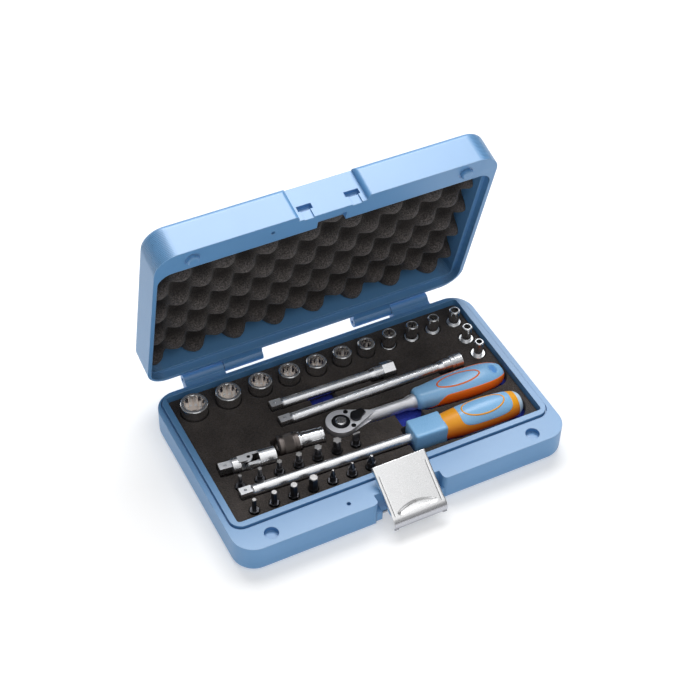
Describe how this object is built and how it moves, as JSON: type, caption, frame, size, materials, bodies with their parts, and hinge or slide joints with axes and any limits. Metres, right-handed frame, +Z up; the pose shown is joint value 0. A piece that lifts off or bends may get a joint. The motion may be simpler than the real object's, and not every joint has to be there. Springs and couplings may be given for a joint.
{
  "type": "socket wrench set in case",
  "caption": "Hinged plastic case with a toggle latch, holding a ratchet, sockets, driver bits, extension bars, a universal joint and a spinner handle in foam.",
  "frame": {"origin": "middle of the base's underside, on the surface it rests on", "axes": "+X along the case's length to the right, +Y from the latch side to the hinge side, +Z up"},
  "size_m": [0.262, 0.2062, 0.1922],
  "materials": {
    "case_blue": "fine spark texture, sky blue",
    "lid_blue": "fine spark texture, sky blue, fine ribs round the corners",
    "underlay": "royal blue closed-cell foam",
    "foam": "closed-cell foam, black-brown",
    "egg_foam": "open-cell egg-crate foam, charcoal",
    "steel_pin": "drawn wire",
    "latch_plate": "polished sheet",
    "chrome": "bright plated",
    "satin_chrome": "satin plated",
    "dark_steel": "blackened",
    "bronze_steel": "dark nickel, knurled",
    "bit_steel": "shot-blasted grey",
    "handle_blue": "moulded light blue",
    "grip_orange": "soft orange overmould",
    "cap_pale": "pale blue"
  },
  "bodies": {
    "base": {"base_shell": "case_blue", "tray_underlay": "underlay", "foam_tray": "foam", "hinge_pins": "steel_pin"},
    "lid": {"lid_shell": "lid_blue", "lid_foam": "egg_foam"},
    "latch_bail": {"latch_bail": "steel_pin"},
    "latch_plate": {"latch_plate": "latch_plate"},
    "extension_100": {"extension_100": "satin_chrome"},
    "extension_150": {"extension_150": "satin_chrome"},
    "ratchet": {"ratchet_body": "satin_chrome", "ratchet_cover": "satin_chrome", "ratchet_screws": "dark_steel", "ratchet_handle": "handle_blue", "ratchet_grip": "grip_orange"},
    "ratchet_gear": {"ratchet_gear": "dark_steel"},
    "ratchet_button": {"ratchet_button": "chrome"},
    "ratchet_lever": {"ratchet_lever": "dark_steel"},
    "ratchet_pawl": {"ratchet_pawl": "dark_steel"},
    "driver": {"driver_shaft": "satin_chrome", "driver_handle": "handle_blue", "driver_grip": "grip_orange", "driver_cap": "cap_pale"},
    "universal": {"universal_socket_yoke": "satin_chrome", "universal_pins": "steel_pin"},
    "universal_drive": {"universal_drive_yoke": "satin_chrome", "universal_cross": "dark_steel"},
    "adapter": {"adapter_body": "chrome", "adapter_ring": "chrome"},
    "adapter_sleeve": {"adapter_sleeve": "bronze_steel"},
    "socket_14": {"socket_14": "chrome"},
    "socket_13": {"socket_13": "chrome"},
    "socket_12": {"socket_12": "chrome"},
    "socket_11": {"socket_11": "chrome"},
    "socket_10": {"socket_10": "chrome"},
    "socket_9": {"socket_9": "chrome"},
    "socket_8": {"socket_8": "chrome"},
    "socket_7": {"socket_7": "chrome"},
    "socket_6": {"socket_6": "chrome"},
    "socket_5_5": {"socket_5_5": "chrome"},
    "socket_5": {"socket_5": "chrome"},
    "socket_4_5": {"socket_4_5": "chrome"},
    "socket_4": {"socket_4": "chrome"},
    "bit_hex_3": {"bit_hex_3": "bit_steel"},
    "bit_hex_4": {"bit_hex_4": "bit_steel"},
    "bit_hex_5": {"bit_hex_5": "bit_steel"},
    "bit_hex_6": {"bit_hex_6": "bit_steel"},
    "bit_cross_1": {"bit_cross_1": "bit_steel"},
    "bit_cross_2": {"bit_cross_2": "bit_steel"},
    "bit_cross_3": {"bit_cross_3": "bit_steel"},
    "bit_star_10": {"bit_star_10": "bit_steel"},
    "bit_star_15": {"bit_star_15": "bit_steel"},
    "bit_star_20": {"bit_star_20": "bit_steel"},
    "bit_star_25": {"bit_star_25": "bit_steel"},
    "bit_star_30": {"bit_star_30": "bit_steel"},
    "bit_star_40": {"bit_star_40": "bit_steel"},
    "bit_slot": {"bit_slot": "bit_steel"}
  },
  "joints": [
    {"name": "lid_hinge", "type": "hinge", "parent": "base", "child": "lid", "pos_m": [0, 0.0877, 0.024], "axis": [-1, 0, 0], "range_deg": [-76, 0]},
    {"name": "latch_bail_swing", "type": "hinge", "parent": "base", "child": "latch_bail", "pos_m": [0, -0.0766, 0.0084], "axis": [1, 0, 0], "range_deg": [-6.5, 0]},
    {"name": "latch_plate_swing", "type": "hinge", "parent": "latch_bail", "child": "latch_plate", "pos_m": [0, -0.07816, 0.02211], "axis": [-1, 0, 0], "range_deg": [-66, 0]},
    {"name": "lift_socket_14", "type": "slide", "parent": "base", "child": "socket_14", "axis": [0, 0, 1], "range_m": [0, 0.03]},
    {"name": "lift_socket_13", "type": "slide", "parent": "base", "child": "socket_13", "axis": [0, 0, 1], "range_m": [0, 0.03]},
    {"name": "lift_socket_12", "type": "slide", "parent": "base", "child": "socket_12", "axis": [0, 0, 1], "range_m": [0, 0.03]},
    {"name": "lift_socket_11", "type": "slide", "parent": "base", "child": "socket_11", "axis": [0, 0, 1], "range_m": [0, 0.03]},
    {"name": "lift_socket_10", "type": "slide", "parent": "base", "child": "socket_10", "axis": [0, 0, 1], "range_m": [0, 0.03]},
    {"name": "lift_socket_9", "type": "slide", "parent": "base", "child": "socket_9", "axis": [0, 0, 1], "range_m": [0, 0.03]},
    {"name": "lift_socket_8", "type": "slide", "parent": "base", "child": "socket_8", "axis": [0, 0, 1], "range_m": [0, 0.03]},
    {"name": "lift_socket_7", "type": "slide", "parent": "base", "child": "socket_7", "axis": [0, 0, 1], "range_m": [0, 0.03]},
    {"name": "lift_socket_6", "type": "slide", "parent": "base", "child": "socket_6", "axis": [0, 0, 1], "range_m": [0, 0.03]},
    {"name": "lift_socket_5_5", "type": "slide", "parent": "base", "child": "socket_5_5", "axis": [0, 0, 1], "range_m": [0, 0.03]},
    {"name": "lift_socket_5", "type": "slide", "parent": "base", "child": "socket_5", "axis": [0, 0, 1], "range_m": [0, 0.03]},
    {"name": "lift_socket_4_5", "type": "slide", "parent": "base", "child": "socket_4_5", "axis": [0, 0, 1], "range_m": [0, 0.03]},
    {"name": "lift_socket_4", "type": "slide", "parent": "base", "child": "socket_4", "axis": [0, 0, 1], "range_m": [0, 0.03]},
    {"name": "lift_bit_hex_3", "type": "slide", "parent": "base", "child": "bit_hex_3", "axis": [0, 0, 1], "range_m": [0, 0.03]},
    {"name": "lift_bit_hex_4", "type": "slide", "parent": "base", "child": "bit_hex_4", "axis": [0, 0, 1], "range_m": [0, 0.03]},
    {"name": "lift_bit_hex_5", "type": "slide", "parent": "base", "child": "bit_hex_5", "axis": [0, 0, 1], "range_m": [0, 0.03]},
    {"name": "lift_bit_hex_6", "type": "slide", "parent": "base", "child": "bit_hex_6", "axis": [0, 0, 1], "range_m": [0, 0.03]},
    {"name": "lift_bit_cross_1", "type": "slide", "parent": "base", "child": "bit_cross_1", "axis": [0, 0, 1], "range_m": [0, 0.03]},
    {"name": "lift_bit_cross_2", "type": "slide", "parent": "base", "child": "bit_cross_2", "axis": [0, 0, 1], "range_m": [0, 0.03]},
    {"name": "lift_bit_cross_3", "type": "slide", "parent": "base", "child": "bit_cross_3", "axis": [0, 0, 1], "range_m": [0, 0.03]},
    {"name": "lift_bit_star_10", "type": "slide", "parent": "base", "child": "bit_star_10", "axis": [0, 0, 1], "range_m": [0, 0.03]},
    {"name": "lift_bit_star_15", "type": "slide", "parent": "base", "child": "bit_star_15", "axis": [0, 0, 1], "range_m": [0, 0.03]},
    {"name": "lift_bit_star_20", "type": "slide", "parent": "base", "child": "bit_star_20", "axis": [0, 0, 1], "range_m": [0, 0.03]},
    {"name": "lift_bit_star_25", "type": "slide", "parent": "base", "child": "bit_star_25", "axis": [0, 0, 1], "range_m": [0, 0.03]},
    {"name": "lift_bit_star_30", "type": "slide", "parent": "base", "child": "bit_star_30", "axis": [0, 0, 1], "range_m": [0, 0.03]},
    {"name": "lift_bit_star_40", "type": "slide", "parent": "base", "child": "bit_star_40", "axis": [0, 0, 1], "range_m": [0, 0.03]},
    {"name": "lift_bit_slot", "type": "slide", "parent": "base", "child": "bit_slot", "axis": [0, 0, 1], "range_m": [0, 0.03]},
    {"name": "lift_extension_100", "type": "slide", "parent": "base", "child": "extension_100", "axis": [0, 0, 1], "range_m": [0, 0.03]},
    {"name": "lift_extension_150", "type": "slide", "parent": "base", "child": "extension_150", "axis": [0, 0, 1], "range_m": [0, 0.03]},
    {"name": "lift_ratchet", "type": "slide", "parent": "base", "child": "ratchet", "axis": [0, 0, 1], "range_m": [0, 0.03]},
    {"name": "lift_driver", "type": "slide", "parent": "base", "child": "driver", "axis": [0, 0, 1], "range_m": [0, 0.03]},
    {"name": "lift_universal", "type": "slide", "parent": "base", "child": "universal", "axis": [0, 0, 1], "range_m": [0, 0.03]},
    {"name": "lift_adapter", "type": "slide", "parent": "base", "child": "adapter", "axis": [0, 0, 1], "range_m": [0, 0.03]},
    {"name": "gear_spin", "type": "hinge", "parent": "ratchet", "child": "ratchet_gear", "pos_m": [-0.0157, -0.0001, 0.018], "axis": [0, 0, 1], "continuous": true},
    {"name": "release_button", "type": "slide", "parent": "ratchet_gear", "child": "ratchet_button", "axis": [0, 0, -1], "range_m": [0, 0.0015], "stiffness_N_per_m": 500, "springref_m": -0.0005},
    {"name": "reverse_lever", "type": "hinge", "parent": "ratchet", "child": "ratchet_lever", "pos_m": [-0.00351, -0.00053, 0.024], "axis": [0, 0, -1], "range_deg": [0, 40]},
    {"name": "pawl_rock", "type": "hinge", "parent": "ratchet", "child": "ratchet_pawl", "pos_m": [-0.00351, -0.00053, 0.019], "axis": [0, 0, -1], "range_deg": [0, 20]},
    {"name": "universal_bend", "type": "hinge", "parent": "universal", "child": "universal_drive", "pos_m": [-0.0907, -0.00331, 0.0212], "axis": [0.0958, 0.9954, 0], "range_deg": [0, 45]},
    {"name": "adapter_collar", "type": "slide", "parent": "adapter", "child": "adapter_sleeve", "axis": [-0.9936, 0.1132, 0], "range_m": [0, 0.003], "stiffness_N_per_m": 300, "springref_m": -0.001}
  ],
  "couplings": [
    {"joint": "latch_bail_swing", "follows": "lid_hinge", "ratio": 0.0855},
    {"joint": "latch_plate_swing", "follows": "lid_hinge", "ratio": 0.8615},
    {"joint": "pawl_rock", "follows": "reverse_lever", "ratio": 0.5}
  ]
}
